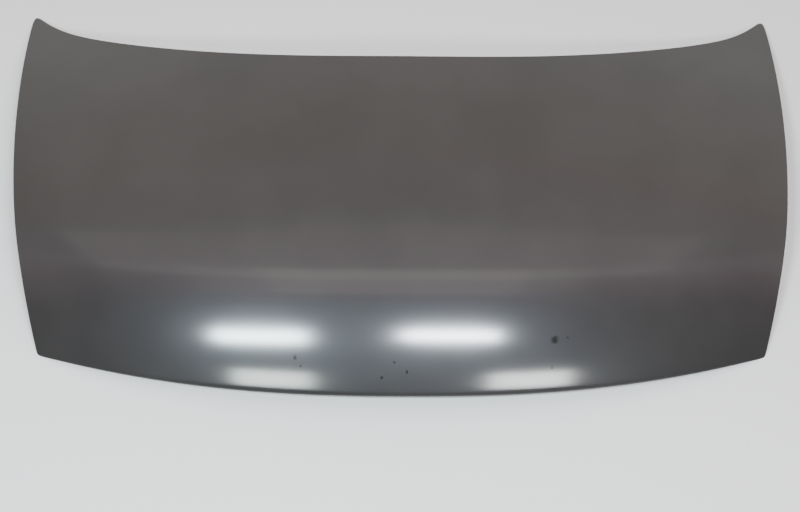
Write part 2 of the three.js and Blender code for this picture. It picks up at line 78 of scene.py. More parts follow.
# Half width along the side: a cubic Bezier curve of v
def halfWidthAt(v):
    w = 1 - v
    front = panel["frontHalfWidth"] * w ** 3 + 3 * panel["foreSwell"] * v * w ** 2
    return front + 3 * panel["rearSwell"] * v ** 2 * w + panel["rearHalfWidth"] * v ** 3


# Height of the centre line at d behind the front edge: a parabola, plus a slope that a softened
# ramp ln(1 + e^x) ends at the knee, plus a lip slope that dies away as e^(-d / reach)
def centreHeight(v):
    blend, knee, length = panel["kneeBlend"], panel["kneeDistance"], panel["centreLength"]

    def extra(d):
        run = np.logaddexp(0, knee / blend) - np.logaddexp(0, (knee - d) / blend)
        nose = panel["noseSlope"] * blend * run
        return nose + panel["lipSlope"] * panel["lipReach"] * (1 - np.exp(-d / panel["lipReach"]))

    bodyRise = panel["cowlHeight"] - panel["noseHeight"] - extra(length)
    d = v * length
    body = panel["bodySlope"] * d + (bodyRise - panel["bodySlope"] * length) * v ** 2
    return panel["noseHeight"] + body + extra(d)


# Point of the outer face at u = -1..1 across and v = 0..1 back: the centre line's height less a crown
# of 0.88 u^2 + 0.12 |u|^10 that grows from front to rear, less turn * (1 - d / reach)^2 at the front edge
def skinPoint(u, v):
    u, v = np.broadcast_arrays(np.asarray(u, float), np.asarray(v, float))
    share = panel["shoulderShare"]
    crown = (1 - share) * u ** 2 + share * np.abs(u) ** panel["shoulderPower"]
    drop = (panel["noseHeight"] * (1 - v) + panel["rearCrown"] * v) * crown
    towardsEdge = np.clip(1 - v * panel["centreLength"] / panel["edgeTurnReach"], 0, 1)
    drop = drop + panel["edgeTurn"] * towardsEdge ** 2 * np.clip(1 - u ** 6, 0, 1)
    y = noseEdge(u) * (1 - v) + cowlEdge(u) * v
    return np.stack([u * halfWidthAt(v), y, centreHeight(v) - drop], -1)


# Outward normal: cross product of the central differences in u and v
def skinNormal(u, v):
    step = 1e-3
    across = skinPoint(u + step, v) - skinPoint(u - step, v)
    along = skinPoint(u, v + step) - skinPoint(u, v - step)
    n = np.cross(across, along)
    return n / np.linalg.norm(n, axis=-1, keepdims=True)


# The same point, moved inwards along the normal by a depth
def belowSkin(u, v, depth):
    return skinPoint(u, v) - skinNormal(u, v) * np.asarray(depth, float)[..., None]


# Pulls the corners of the square u, v field in to a superellipse (|u|^n + |w|^n)^(-1 / n)
def roundCorner(u, v):
    w = 2 * v - 1
    cornerPull = np.where(w < 0, panel["frontCornerPull"], panel["rearCornerPull"])
    power = math.log(2) / -np.log(1 - cornerPull / halfWidest)
    reach = np.maximum(np.maximum(np.abs(u), np.abs(w)), 1e-9)
    scale = np.maximum((np.abs(u) / reach) ** power + (np.abs(w) / reach) ** power, 1) ** (-1 / power)
    pull = 1 + (scale - 1) * reach ** power
    return u * pull, (w * pull + 1) / 2


# Point at an inset from the outline, a = -1..1 across and b = 0..1 along what the inset leaves
def insetPoint(a, b, inset, depth):
    u = a * (1 - inset / halfWidest)
    v = (inset + b * (panel["centreLength"] - 2 * inset)) / panel["centreLength"]
    return belowSkin(*roundCorner(u, v), depth + np.zeros(np.shape(u)))


# u and v of a place in plan, by repeated substitution
def surfacePlace(x, y):
    v = np.full(np.shape(x), 0.5)
    for _ in range(30):
        u = x / halfWidthAt(v)
        v = (y - noseEdge(u)) / (cowlEdge(u) - noseEdge(u))
    return u, v


# Point at a depth under the place x, y in plan
def underSkin(x, y, depth):
    return belowSkin(*surfacePlace(np.asarray(x, float), np.asarray(y, float)), np.asarray(depth, float))


# Point of the outer face over the place x, y in plan
def skinAt(x, y):
    return underSkin(x, y, 0.0)


# Helpers that turn arrays into closed sheets and pieces

# Normal of each point: the sum of its triangles' cross products, made one long
def pointNormals(points, faces):
    a, b, c = (points[faces[:, k]] for k in range(3))
    areas = np.cross(b - a, c - a)
    total = np.stack([
        np.bincount(faces.ravel(), np.repeat(areas[:, axis], 3), len(points)) for axis in range(3)
    ], -1)
    return total / np.maximum(np.linalg.norm(total, axis=1, keepdims=True), 1e-12)


# A second layer lies a thickness inside the first, and every free edge gets a wall between the two
def thicken(points, faces, thickness):
    count = len(points)
    inner = points - pointNormals(points, faces) * thickness
    sides = np.concatenate([faces[:, [0, 1]], faces[:, [1, 2]], faces[:, [2, 0]]])
    free = sides[~np.isin(sides[:, 0] * count + sides[:, 1], sides[:, 1] * count + sides[:, 0])]
    a, b = free[:, 0], free[:, 1]
    walls = np.concatenate([np.stack([b, a, a + count], -1), np.stack([b, a + count, b + count], -1)])
    return np.concatenate([points, inner]), np.concatenate([faces, faces[:, ::-1] + count, walls])


# Triangles between neighbouring rows of a grid of point numbers; a closed grid also joins its last
# column to its first
def gridFaces(rows, closed=False):
    right = np.roll(rows, -1, 1)
    a, b, c, d = rows[:-1], right[:-1], right[1:], rows[1:]
    if not closed:
        a, b, c, d = (corner[:, :-1] for corner in (a, b, c, d))
    quads = np.stack([a, b, c, d], -1).reshape(-1, 4)
    return np.concatenate([quads[:, [0, 1, 2]], quads[:, [0, 2, 3]]])


# Rings of points joined in order, from a middle point of the first ring to a middle point of the last
def closedRings(rings):
    rows, steps = rings.shape[:2]
    points = np.concatenate([rings.reshape(-1, 3), rings[:1].mean(1), rings[-1:].mean(1)])
    number = np.arange(rows * steps).reshape(rows, steps)
    first, last = number[0], number[-1]
    low = np.stack([np.roll(first, -1), first, np.full(steps, rows * steps)], -1)
    high = np.stack([last, np.roll(last, -1), np.full(steps, rows * steps + 1)], -1)
    return points, np.concatenate([gridFaces(number, closed=True), low, high])


# Several meshes as one: each one's point numbers start where the last one's end
def join(parts):
    starts = np.cumsum([0] + [len(points) for points, _ in parts[:-1]])
    return np.concatenate([p for p, _ in parts]), np.concatenate([f + s for (_, f), s in zip(parts, starts)])


# Even-odd rule: counts how many edges of the loop lie to the right of each place
def insideLoop(places, loop):
    x, y = places[:, :1], places[:, 1:2]
    ax, ay = loop[:, 0], loop[:, 1]
    bx, by = np.roll(ax, -1), np.roll(ay, -1)
    spans = (ay > y) != (by > y)
    crossing = ax + (y - ay) * (bx - ax) / np.where(by == ay, 1, by - ay)
    return (spans & (x < crossing)).sum(1) % 2 == 1


# Fills the ring called contour, less the rings in holes, through the loose points between them
def fillFaces(points, contour, holes, loose):
    rings = [contour, *holes]
    number = np.concatenate([*rings, loose]).astype(int)
    plan = points[number][:, :2]
    starts = np.cumsum([0] + [len(r) for r in rings])
    edges = [(s + k, s + (k + 1) % len(r)) for s, r in zip(starts, rings) for k in range(len(r))]
    found = delaunay_2d_cdt([Vector(p) for p in plan], edges, [], 0, 1e-7)
    origin = np.array([source[0] if source else -1 for source in found[3]])
    faces = origin[np.array(found[2])]
    faces = faces[(faces >= 0).all(1)]
    middle = plan[faces].mean(1)
    keep = insideLoop(middle, points[contour][:, :2])
    for ring in holes:
        keep &= ~insideLoop(middle, points[ring][:, :2])
    faces = faces[keep]
    a, b, c = (plan[faces[:, k]] for k in range(3))
    up = (b - a)[:, 0] * (c - a)[:, 1] - (b - a)[:, 1] * (c - a)[:, 0]
    faces = np.where((up > 0)[:, None], faces, faces[:, ::-1])
    return number[faces[np.abs(up) > 1e-9]]


shift = np.zeros(3)  # from the pressing's own axes to the frame, set once the outer skin is there


# Puts points in mm and triangles into a mesh, with edges sharp past an angle, and ties it to the frame
def makePiece(name, points, faces, material, slotName, *nodes, sharp=35):
    mesh = bpy.data.meshes.new(name)
    mesh.vertices.add(len(points))
    mesh.vertices.foreach_set("co", ((points + shift) / 1000).astype(np.float32).ravel())
    mesh.loops.add(faces.size)
    mesh.loops.foreach_set("vertex_index", faces.astype(np.int32).ravel())
    mesh.polygons.add(len(faces))
    mesh.polygons.foreach_set("loop_start", np.arange(0, faces.size, 3, dtype=np.int32))
    mesh.polygons.foreach_set("use_smooth", np.ones(len(faces), bool))
    mesh.update(calc_edges=True)
    mesh.set_sharp_from_angle(angle=math.radians(sharp))
    mesh.materials.append(material)
    piece = bpy.data.objects.new(name, mesh)
    bpy.context.collection.objects.link(piece)
    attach(piece, "root")
    if nodes:
        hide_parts(*nodes)
    print(name, len(faces), "triangles")
    return piece


# Finishes

# A new material, its shader, and a function that adds a node with its inputs linked or set
def newMaterial(name):
    material = bpy.data.materials.new(name)
    material.use_nodes = True
    nodes, links = material.node_tree.nodes, material.node_tree.links
    shader = nodes["Principled BSDF"]

    def add(kind, inputs=(), **settings):
        made = nodes.new(kind)
        for key, value in settings.items():
            setattr(made, key, value)
        for socket, value in dict(inputs).items():
            if isinstance(value, bpy.types.NodeSocket):
                links.new(value, made.inputs[socket])
            else:
                made.inputs[socket].default_value = value
        return made

    return material, shader, add, links


# Noise of a given grain in mm, read from the object's own coordinates
def grain(add, place, size, detail=2.0, rough=0.5):
    made = add("ShaderNodeTexNoise", {
        "Vector": place, "Scale": 1000 / size, "Detail": detail, "Roughness": rough,
    })
    return made.outputs["Fac"]


# Straight line from low to high while the value goes from one limit to the other, held at both ends
def ramp(add, value, fromLow, fromHigh, low, high):
    made = add("ShaderNodeMapRange", {
        "Value": value, "From Min": fromLow, "From Max": fromHigh, "To Min": low, "To Max": high,
    })
    return made.outputs["Result"]


# first * (1 - share) + second * share, for colours
def blendColours(add, first, second, share):
    made = add("ShaderNodeMix", {"A": first, "B": second, "Factor": share}, data_type="RGBA")
    return made.outputs["Result"]


# Normal of a height field of noise, its full height in metres
def roughen(add, height, depth):
    return add("ShaderNodeBump", {"Height": height, "Distance": depth, "Strength": 1.0}).outputs["Normal"]


outerCoat = {
    "colour": (0.030, 0.0285, 0.028, 1), "mottle": (0.036, 0.034, 0.0335, 1), "dust": (0.16, 0.155, 0.15, 1),
    "roughness": 0.385, "roughnessSwing": 0.03, "glossLevel": 0.19, "glossTint": (0.76, 0.86, 1.0, 1),
    "coatRoughness": 0.129,  # a tight gloss over the broad one
    "peelSize": 2.6, "peelHeight": 0.0000035,
    "scuff": (0.006, 0.005, 0.0045, 1), "scuffRoughness": 0.8, "scuffRagged": 0.0016,
}
scuffs = [  # x and y in mm on the pressing, radius
    (254, -244, 7.5), (276, -240, 2.5), (-182, -273, 4.5), (249, -286, 3.0),
    (5, -297, 2.5), (-16, -283, 2.5), (-37, -306, 3.0), (-172, -287, 2.0),
]


# Satin dark grey primer: mottling, grains of dust, a broad gloss under a tighter one and a faint peel
def coatMaterial(name, settings, spots=()):
    material, shader, add, links = newMaterial(name)
    place = add("ShaderNodeTexCoord").outputs["Object"]
    cloud = grain(add, place, 160, 3)
    fine = grain(add, place, 5)
    colour = blendColours(add, settings["colour"], settings["mottle"], ramp(add, cloud, 0.35, 0.65, 0, 1))
    cell = add("ShaderNodeTexVoronoi", {"Vector": place, "Scale": 160.0, "Randomness": 1.0})
    speck = ramp(add, cell.outputs["Distance"], 0.05, 0.09, 1, 0)
    rare = ramp(add, cell.outputs["Color"], 0.80, 0.82, 0, 0.35)
    dust = add("ShaderNodeMath", {0: speck, 1: rare}, operation="MULTIPLY").outputs[0]
    colour = blendColours(add, colour, settings["dust"], dust)
    swing, rough = settings["roughnessSwing"], settings["roughness"]
    roughness = ramp(add, grain(add, place, 45, 3), 0.3, 0.7, rough - swing, rough + swing)
    for x, y, radius in spots:  # a scuff fades out between 0.4 and 1.1 of its radius, at a ragged edge
        centre = tuple((skinAt(x, y) + shift) / 1000)
        distance = add("ShaderNodeVectorMath", {0: place, 1: centre}, operation="DISTANCE").outputs["Value"]
        wander = ramp(add, fine, 0.3, 0.7, -settings["scuffRagged"], settings["scuffRagged"])
        ragged = add("ShaderNodeMath", {0: distance, 1: wander}, operation="ADD").outputs[0]
        spot = ramp(add, ragged, radius * 0.0004, radius * 0.0011, 0.9, 0)
        colour = blendColours(add, colour, settings["scuff"], spot)
        dull = add("ShaderNodeMix", {"A": roughness, "B": settings["scuffRoughness"], "Factor": spot})
        roughness = dull.outputs["Result"]
    links.new(colour, shader.inputs["Base Color"])
    links.new(roughness, shader.inputs["Roughness"])
    peel = roughen(add, grain(add, place, settings["peelSize"]), settings["peelHeight"])
    links.new(peel, shader.inputs["Normal"])
    links.new(peel, shader.inputs["Coat Normal"])
    shader.inputs["Metallic"].default_value = 0
    shader.inputs["IOR"].default_value = 1.5
    shader.inputs["Specular IOR Level"].default_value = settings["glossLevel"]
    shader.inputs["Specular Tint"].default_value = settings["glossTint"]
    shader.inputs["Coat Weight"].default_value = 1.0
    shader.inputs["Coat Roughness"].default_value = settings["coatRoughness"]
    return material


# Outer skin

outerSkinSheet = {
    "thickness": 0.7, "seatGap": 0.3, "frameThickness": 0.7, "hemWidth": 11,
    "acrossStrips": 190, "alongStrips": 140, "edgeCrowding": 0.4, "rollSteps": 8, "hemSteps": 3,
}
rollRadius = outerSkinSheet["thickness"] + outerSkinSheet["seatGap"] + outerSkinSheet["frameThickness"] / 2


# Lines closer together near both ends: t (1 + k) - k t^3
def crowdedLines(count):
    t = np.linspace(-1, 1, count + 1)
    k = outerSkinSheet["edgeCrowding"]
    return t * (1 + k) - k * t ** 3


acrossLines = crowdedLines(outerSkinSheet["acrossStrips"])
alongLines = (crowdedLines(outerSkinSheet["alongStrips"]) + 1) / 2
acrossOnes, alongOnes = np.ones(len(acrossLines) - 1), np.ones(len(alongLines) - 1)
# The outline counter-clockwise from the left front corner
outlineA = np.concatenate([acrossLines[:-1], alongOnes, acrossLines[:0:-1], -alongOnes])
outlineB = np.concatenate([0 * acrossOnes, alongLines[:-1], acrossOnes, alongLines[:0:-1]])


# Panel grid, then rings round it: a half turn of the roll, and the hem folded back flat
def outerSkinSurface():
    s = outerSkinSheet
    a, b = np.meshgrid(acrossLines, alongLines)
    grid = insetPoint(a, b, rollRadius, 0.0)
    number = np.arange(a.size).reshape(a.shape)
    edge = np.concatenate([number[0, :-1], number[:-1, -1], number[-1, :0:-1], number[:0:-1, 0]])
    angles = np.linspace(0, math.pi, s["rollSteps"] + 1)[1:]
    flat = np.linspace(rollRadius, s["hemWidth"], s["hemSteps"] + 1)[1:]
    insets = np.concatenate([rollRadius * (1 - np.sin(angles)), flat])
    depths = np.concatenate([rollRadius * (1 - np.cos(angles)), 0 * flat + 2 * rollRadius])
    rings = [insetPoint(outlineA, outlineB, inset, depth) for inset, depth in zip(insets, depths)]
    ringNumber = a.size + np.arange(len(rings) * len(edge)).reshape(len(rings), -1)
    border = gridFaces(np.concatenate([edge[None], ringNumber]), closed=True)[:, ::-1]
    return np.concatenate([grid.reshape(-1, 3), *rings]), np.concatenate([gridFaces(number), border])


skinPoints, skinFaces = thicken(*outerSkinSurface(), outerSkinSheet["thickness"])
skinLow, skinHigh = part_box("outer_skin")
shift = np.array([0, skinLow.y * 1000 - skinPoints[:, 1].min(), skinHigh.z * 1000 - skinPoints[:, 2].max()])
outerCoatMaterial = coatMaterial("satin_primer_outer", outerCoat, scuffs)
makePiece("bonnet_outer_skin", skinPoints, skinFaces, outerCoatMaterial, "coat_outer", "outer_skin", sharp=50)


# Inner frame

innerFrameSheet = {
    "thickness": 0.7, "sectionDepth": 22, "cornerTaper": 0.6, "taperSoftness": 1.6,
    "wallRun": 13, "wallPower": 1.9, "wallStart": 0.4, "edgeSoftness": 0.5, "rimSoftness": 1,
    "rimWidth": 12, "rimGap": 3.5, "hemWidth": 11, "flangeGap": 1, "foldClearance": 2,
    "noseBeamWidth": 115, "sideBeamWidth": 85, "cowlBeamWidth": 80, "armWidth": 90, "armFootX": 65,
    "crossBowWidth": 76, "crossBowPlace": 340, "strutWidth": 70, "strutPlace": 352,
    "noseCutoutSetback": 156, "sideCutoutSetback": 126, "cutoutRadius": 26,
    "hingeSideSetback": 117, "hingeRearSetback": 98, "hingePad": (60, 90), "hingePadDepth": 28,
    "hingeBoltSpacing": 56, "boltHoleRadius": 4.5, "padRadius": 12, "padRamp": 14,
    "latchSetback": 78, "latchPad": (120, 50), "latchPadDepth": 36,
    "toolingHoleRadius": 10, "sideHoleRadius": 8, "slotWidth": 15, "slotRadius": 7,
    "drainSlotLength": 44, "drainSlotPlaces": (227, 416), "propSlotLength": 26, "propSlotPlace": 529,
    "collarWidth": 7, "collarHeight": 1.4, "sideShare": 0.49,
    "beadHeight": 1.8, "beadHalfWidth": 7, "bowBeadHalfLength": 150, "rearBeadSpan": (60, 430),
    "sideBeadSpans": ((-210, -40), (40, 150)),  # from the strut's middle line
    "pointSpacing": 5.5, "edgeClearance": 4, "ringClearance": 3, "fieldSpan": (-340, 540),
    # Rings of points, in mm from the outer edge and from each cut-out, then as shares of a ramp and a collar
    "edgeRings": (7, 10.5, 12, 12.4, 12.9, 13.6, 15, 17, 19, 21, 23, 25.4),
    "cutoutRings": (27, 25, 23, 21, 19, 17, 15, 13.5, 12.6, 12, 11.4, 10.6, 8, 4, 0),
    "rampRings": (-0.4, -0.2, 0, 0.1, 0.2, 0.3, 0.4, 0.5, 0.6, 0.7, 0.8, 0.9, 1),
    "collarRings": (1, 0.8, 0.6, 0.4, 0.2, 0),
}
fr = innerFrameSheet
rimDepth = outerSkinSheet["thickness"] + fr["rimGap"]
flangeInset = fr["hemWidth"] + fr["flangeGap"]


# y of the front and the rear edge at x, and x of the side at y
def noseY(x):
    return noseEdge(x / panel["frontHalfWidth"])


def cowlY(x):
    return cowlEdge(x / panel["rearHalfWidth"])


def sideX(y):
    return halfWidthAt((y - noseEdge(1)) / (cowlEdge(1) - noseEdge(1)))


hingeX = panel["rearHalfWidth"] - fr["hingeSideSetback"]
hingeY = float(cowlY(hingeX)) - fr["hingeRearSetback"]
latchY = float(noseY(0)) + fr["latchSetback"]
hingePadZ = skinAt(hingeX, hingeY)[2] - fr["hingePadDepth"]
latchPadZ = skinAt(0, latchY)[2] - fr["latchPadDepth"]
crossBowY = float(noseY(0)) + fr["crossBowPlace"]
strutY = float(noseY(0)) + fr["strutPlace"]


# Floor of the sections, no deeper than a share of the height above the base: the soft least of the
# two, -soft * ln(e^(-a / soft) + e^(-b / soft))
def floorDepth(height):
    soft = fr["taperSoftness"]
    return -soft * np.logaddexp(-fr["sectionDepth"] / soft, -fr["cornerTaper"] * height / soft)


# Points of the floor at places in plan, raised towards the skin
def onFloor(places, raised=0.0):
    height = underSkin(places[:, 0], places[:, 1], np.zeros(len(places)))[:, 2]
    return underSkin(places[:, 0], places[:, 1], floorDepth(height) - raised)


# Share of the way down a wall at a distance past its start: 1 - (1 - t)^power, with a rounded start
def wallShare(past, softness):
    t = np.clip((past + np.sqrt(past ** 2 + softness ** 2)) / 2 / fr["wallRun"], 0, 1)
    return 1 - (1 - t) ** fr["wallPower"]


# Closed line with rounded corners, as places and outward directions: an arc at each corner, and
# straights divided evenly
def roundedLoop(corners, radius, arcSteps=10, spacing=6.0):
    corners = np.array(corners, float)
    before, after = corners - np.roll(corners, 1, 0), np.roll(corners, -1, 0) - corners
    into, out = np.arctan2(before[:, 1], before[:, 0]), np.arctan2(after[:, 1], after[:, 0])
    half = ((out - into) % (2 * math.pi)) / 2
    shortest = np.minimum(np.hypot(*before.T), np.hypot(*after.T))
    back = np.minimum(radius * np.tan(half), fr["sideShare"] * shortest)
    fillet = back / np.tan(half)
    centre = corners - back[:, None] * np.stack([np.cos(into), np.sin(into)], -1)
    centre += fillet[:, None] * np.stack([-np.sin(into), np.cos(into)], -1)
    angle = (into - math.pi / 2)[:, None] + 2 * half[:, None] * np.linspace(0, 1, arcSteps + 1)
    away = np.stack([np.cos(angle), np.sin(angle)], -1)
    arcs = centre[:, None] + fillet[:, None, None] * away
    places, outward = [], []
    for k in range(len(corners)):
        start, end = arcs[k, -1], arcs[(k + 1) % len(corners), 0]
        pieces = max(1, round(float(np.hypot(*(end - start))) / spacing))
        share = np.linspace(0, 1, pieces + 1)[1:-1, None]
        places += [arcs[k], start + (end - start) * share]
        outward += [away[k], np.repeat(away[k, -1:], len(share), 0)]
    return np.concatenate(places), np.concatenate(outward)


# Circle as such a loop
def circleLoop(x, y, radius, steps=32):
    angle = np.arange(steps) / steps * 2 * math.pi
    outward = np.stack([np.cos(angle), np.sin(angle)], -1)
    return np.array([x, y]) + radius * outward, outward


# Corners counter-clockwise round a middle
def rectangle(x, y, width, length):
    return [(x + sx * width / 2, y + sy * length / 2) for sx, sy in ((-1, -1), (1, -1), (1, 1), (-1, 1))]


# The loop on the other side of the car, x to -x, in the order that keeps it counter-clockwise
def mirrorLoop(loop):
    return tuple((part * (-1, 1))[::-1] for part in loop)


# Those loops and their mirror images
def bothSides(loops):
    return [*loops, *[mirrorLoop(loop) for loop in loops]]


# Edge of an arm, a straight band from the latch to the hinge; side is -1 inwards and 1 outwards
def armX(y, side):
    slope = (hingeX - fr["armFootX"]) / (hingeY - latchY)
    return fr["armFootX"] + slope * (y - latchY) + side * fr["armWidth"] * math.hypot(1, slope) / 2


# Corners of the cut-outs between the beams and the arms; the outer front corners are found by
# repeated substitution, because the arm, the side and the front edge all depend on each other's place
def cutoutCorners():
    bowFront, bowRear = crossBowY - fr["crossBowWidth"] / 2, crossBowY + fr["crossBowWidth"] / 2
    strutFront, strutRear = strutY - fr["strutWidth"] / 2, strutY + fr["strutWidth"] / 2
    noseCutout = float(noseY(0)) + fr["noseCutoutSetback"]
    cowlCutout = float(cowlY(0)) - fr["cowlBeamWidth"]
    sideCutout = hingeY - fr["sideCutoutSetback"]
    innerFront = outerFront = latchY
    for _ in range(20):
        innerFront = float(noseY(armX(innerFront, 1))) + fr["noseBeamWidth"]
        outerFront = float(noseY(sideX(outerFront) - fr["sideBeamWidth"])) + fr["noseBeamWidth"]

    def middle(y, rear):
        return [(-armX(y, -1), y), (armX(y, -1), y), (armX(rear, -1), rear), (-armX(rear, -1), rear)]

    def side(front, outer, rear):
        return [(armX(front, 1), front), (sideX(outer) - fr["sideBeamWidth"], outer),
                (sideX(rear) - fr["sideBeamWidth"], rear), (armX(rear, 1), rear)]

    return ([middle(noseCutout, bowFront), middle(bowRear, cowlCutout)],
            [side(innerFront, outerFront, strutFront), side(strutRear, strutRear, sideCutout)])


middleCorners, sideCorners = cutoutCorners()
middleLoops = [roundedLoop(corners, fr["cutoutRadius"]) for corners in middleCorners]
sideLoops = [roundedLoop(corners, fr["cutoutRadius"]) for corners in sideCorners]
hingeLoop = roundedLoop(rectangle(hingeX, hingeY, *fr["hingePad"]), fr["padRadius"], 8, 5)
latchLoop = roundedLoop(rectangle(0, latchY, *fr["latchPad"]), fr["padRadius"], 8, 5)
boltPlaces = [(hingeX, hingeY + end * fr["hingeBoltSpacing"] / 2) for end in (-1, 1)]
boltLoops = [circleLoop(x, y, fr["boltHoleRadius"]) for x, y in boltPlaces]
leftBoltLoops = [mirrorLoop(loop) for loop in boltLoops]


# Middle line of a beam of that width behind the flange
def midBeam(width):
    return (flangeInset + width - fr["rimWidth"]) / 2


# Tooling holes in the arms, round holes in the sides, drain slots, and the prop rod's slot on the left
def floorHoles():
    def onArm(y):
        return (armX(y, -1) + armX(y, 1)) / 2, y

    def slot(x, length):
        y = float(noseY(x)) + midBeam(fr["noseBeamWidth"])
        return roundedLoop(rectangle(x, y, length, fr["slotWidth"]), fr["slotRadius"], 8, 4)

    holes = [
        circleLoop(*onArm((latchY + crossBowY) / 2), fr["toolingHoleRadius"]),
        circleLoop(*onArm((crossBowY + hingeY) / 2), fr["toolingHoleRadius"]),
        circleLoop(sideX(strutY) - midBeam(fr["sideBeamWidth"]), strutY, fr["sideHoleRadius"]),
        *[slot(x, fr["drainSlotLength"]) for x in fr["drainSlotPlaces"]],
    ]
    return [*bothSides(holes), slot(-fr["propSlotPlace"], fr["propSlotLength"])]


# Middle lines in plan of the stiffening beads: on the cross bow, along the rear edge and along the sides
def beadLines():
    rearY = float(cowlY(0)) - midBeam(fr["cowlBeamWidth"])
    reach = fr["bowBeadHalfLength"]
    across = np.linspace(-reach, reach, 31)
    lines = [np.stack([across, 0 * across + crossBowY], -1)]
    near, far = fr["rearBeadSpan"]
    for low, high in ((-far, -near), (near, far)):
        x = np.linspace(low, high, 41)
        lines.append(np.stack([x, cowlY(x) - (float(cowlY(0)) - rearY)], -1))
    for sign in (-1, 1):
        for start, end in fr["sideBeadSpans"]:
            y = np.linspace(strutY + start, strutY + end, 25)
            lines.append(np.stack([sign * (sideX(y) - midBeam(fr["sideBeamWidth"])), y], -1))
    return lines


# Height that the beads raise the floor: height * (1 - (d / half width)^2)^2 at d from the nearest line
def beadRaise(places):
    raised = np.zeros(len(places))
    for line in beadLines():
        start, end = line[:-1], line[1:]
        along = end - start
        t = ((places[:, None] - start) * along).sum(-1) / (along ** 2).sum(-1)
        nearest = start + np.clip(t, 0, 1)[..., None] * along
        d = np.hypot(*(places[:, None] - nearest).transpose(2, 0, 1)).min(1) / fr["beadHalfWidth"]
        raised = np.maximum(raised, fr["beadHeight"] * np.clip(1 - d ** 2, 0, 1) ** 2)
    return raised


# The frame: flange inside the hem, wall, floor, and round each cut-out a wall back up to a rim close to
# the skin. Bands of rings make the walls, ramps and collars, and an even field of points the floor.
def innerFrameSurface():
    points, faces, counted = [], [], [0]

    def ring(places):
        number = np.arange(len(places)) + counted[0]
        counted[0] += len(places)
        points.append(places)
        return number

    def bands(rings):  # from the outermost ring to the innermost, all counter-clockwise
        faces.append(gridFaces(np.stack(rings), closed=True))

    def outlineRing(inset):
        height = insetPoint(outlineA, outlineB, inset, 0.0)[:, 2]
        flange = outerSkinSheet["thickness"] + outerSkinSheet["seatGap"]
        share = wallShare(inset - flangeInset - fr["wallStart"], fr["edgeSoftness"])
        depth = flange + np.maximum(floorDepth(height) - flange, 0) * share
        return ring(insetPoint(outlineA, outlineB, inset, depth))

    edgeInsets = [rollRadius + fr["foldClearance"], *fr["edgeRings"]]
    edge = [outlineRing(inset) for inset in edgeInsets]
    bands(edge)
    holes, clear = [], fr["ringClearance"]
    for places, outward in [*bothSides(sideLoops), *middleLoops]:
        rings = []
        for offset in fr["cutoutRings"]:
            at = places + outward * offset
            height = underSkin(at[:, 0], at[:, 1], np.zeros(len(at)))[:, 2]
            share = wallShare(offset - fr["rimWidth"], fr["rimSoftness"])
            depth = rimDepth + (floorDepth(height) - rimDepth) * share
            rings.append(ring(underSkin(at[:, 0], at[:, 1], depth)))
        bands(rings)
        holes.append((rings[0], places + outward * (fr["cutoutRings"][0] + clear)))
    pads = [
        (hingeLoop, hingePadZ, boltLoops), (mirrorLoop(hingeLoop), hingePadZ, leftBoltLoops),
        (latchLoop, latchPadZ, []),
    ]
    for (places, outward), height, bolts in pads:
        rings = []
        for t in fr["rampRings"]:  # down the ramp by t^2 (3 - 2 t)
            at = places + outward * fr["padRamp"] * (1 - t)
            share = max(t, 0) ** 2 * (3 - 2 * t)
            flat = np.column_stack([at, np.full(len(at), height)])
            rings.append(ring(onFloor(at) * (1 - share) + flat * share))
        bands(rings)
        bores = [ring(np.column_stack([b[0], np.full(len(b[0]), height)])) for b in bolts]
        whole = np.concatenate(points)
        faces.append(fillFaces(whole, rings[-1], bores, np.zeros(0, int)))
        holes.append((rings[0], places + outward * ((1 - fr["rampRings"][0]) * fr["padRamp"] + clear)))
    for places, outward in floorHoles():
        rings = []
        for offset in fr["collarRings"]:  # dished towards the skin by 1 - t^2 (3 - 2 t)
            at = places + outward * fr["collarWidth"] * offset
            lift = 1 - offset ** 2 * (3 - 2 * offset)
            rings.append(ring(onFloor(at, fr["collarHeight"] * lift)))
        bands(rings)
        holes.append((rings[0], places + outward * (fr["collarWidth"] + clear)))
    spacing = fr["pointSpacing"]
    rows = np.arange(*fr["fieldSpan"], spacing * 0.87)  # nearly sqrt(3) / 2, for even triangles
    x, y = np.meshgrid(np.arange(-halfWidest, halfWidest, spacing), rows)
    x[::2] += spacing / 2
    places = np.stack([x.ravel(), y.ravel()], -1)
    border = insetPoint(outlineA, outlineB, edgeInsets[-1] + fr["edgeClearance"], 0.0)
    places = places[insideLoop(places, border[:, :2])]
    for _, keepOut in holes:
        places = places[~insideLoop(places, keepOut)]
    loose = ring(onFloor(places, beadRaise(places)))
    whole = np.concatenate(points)
    faces.append(fillFaces(whole, edge[-1], [first for first, _ in holes], loose))
    return whole, np.concatenate(faces)


innerCoat = dict(
    outerCoat, colour=(0.026, 0.025, 0.025, 1), mottle=(0.033, 0.032, 0.031, 1),
    roughness=0.42, coatRoughness=0.24, peelSize=3.5,
)
innerCoatMaterial = coatMaterial("satin_primer_inner", innerCoat)
framePoints, frameFaces = thicken(*innerFrameSurface(), fr["thickness"])
makePiece("bonnet_inner_frame", framePoints, frameFaces, innerCoatMaterial, "coat_inner", "inner_frame",
          sharp=50)


# Reinforcing plates inside the sections

plateSheet = {
    "hingeThickness": 2, "latchThickness": 1.5, "margin": 4, "cornerRadius": 8, "flange": 6, "bend": 2.4,
}


